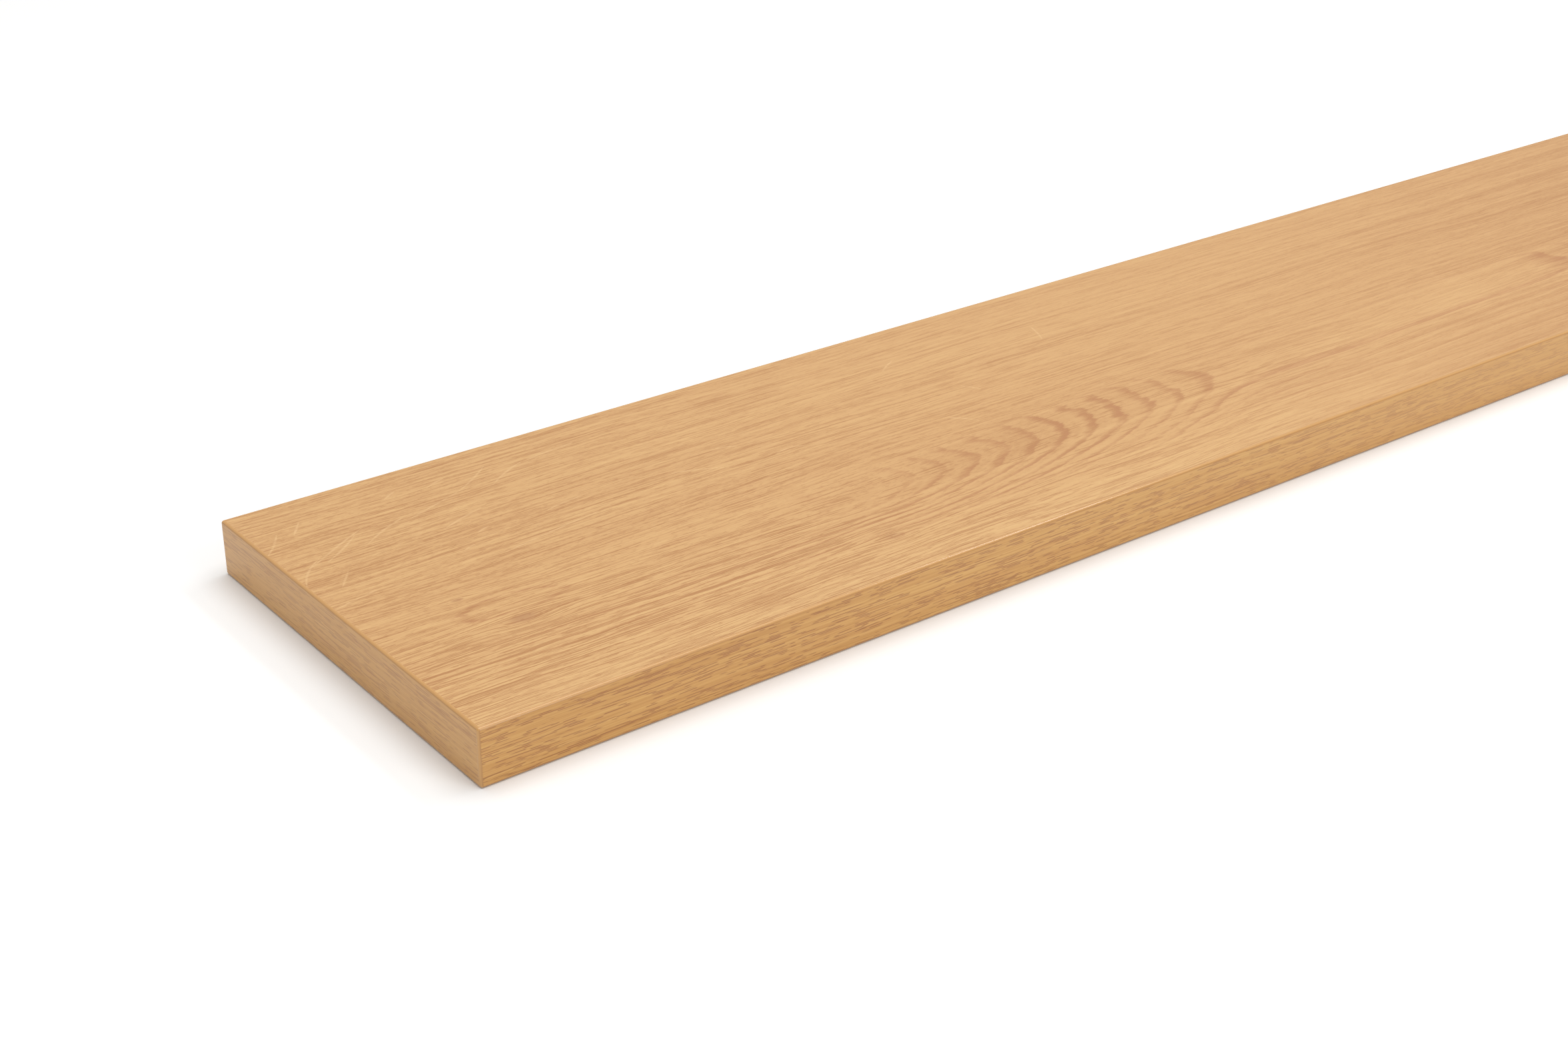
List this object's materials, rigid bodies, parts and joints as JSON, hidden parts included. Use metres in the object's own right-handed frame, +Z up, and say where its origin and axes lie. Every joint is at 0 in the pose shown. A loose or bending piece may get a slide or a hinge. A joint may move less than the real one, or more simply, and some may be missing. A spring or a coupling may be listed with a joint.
{
  "type": "window sill board",
  "caption": "Flat rectangular window sill board: an oak-decor faced panel with thin rounded edge bands on its long edges and ends, laid under a window as its inside ledge.",
  "frame": {"origin": "on the underside, in the middle of the board", "axes": "+X along the board's length, +Y from the room side to the window side, +Z up from the underside to the top face"},
  "size_m": [1.2, 0.15, 0.018],
  "materials": {
    "decor_face": "oak print under matt melamine, with pressed pores",
    "edge_band": "oak print on satin plastic band, plain where it is rounded"
  },
  "bodies": {
    "root": {"faced_panel": "decor_face", "left_end_band": "edge_band", "right_end_band": "edge_band", "front_edge_band": "edge_band", "back_edge_band": "edge_band"}
  },
  "joints": []
}
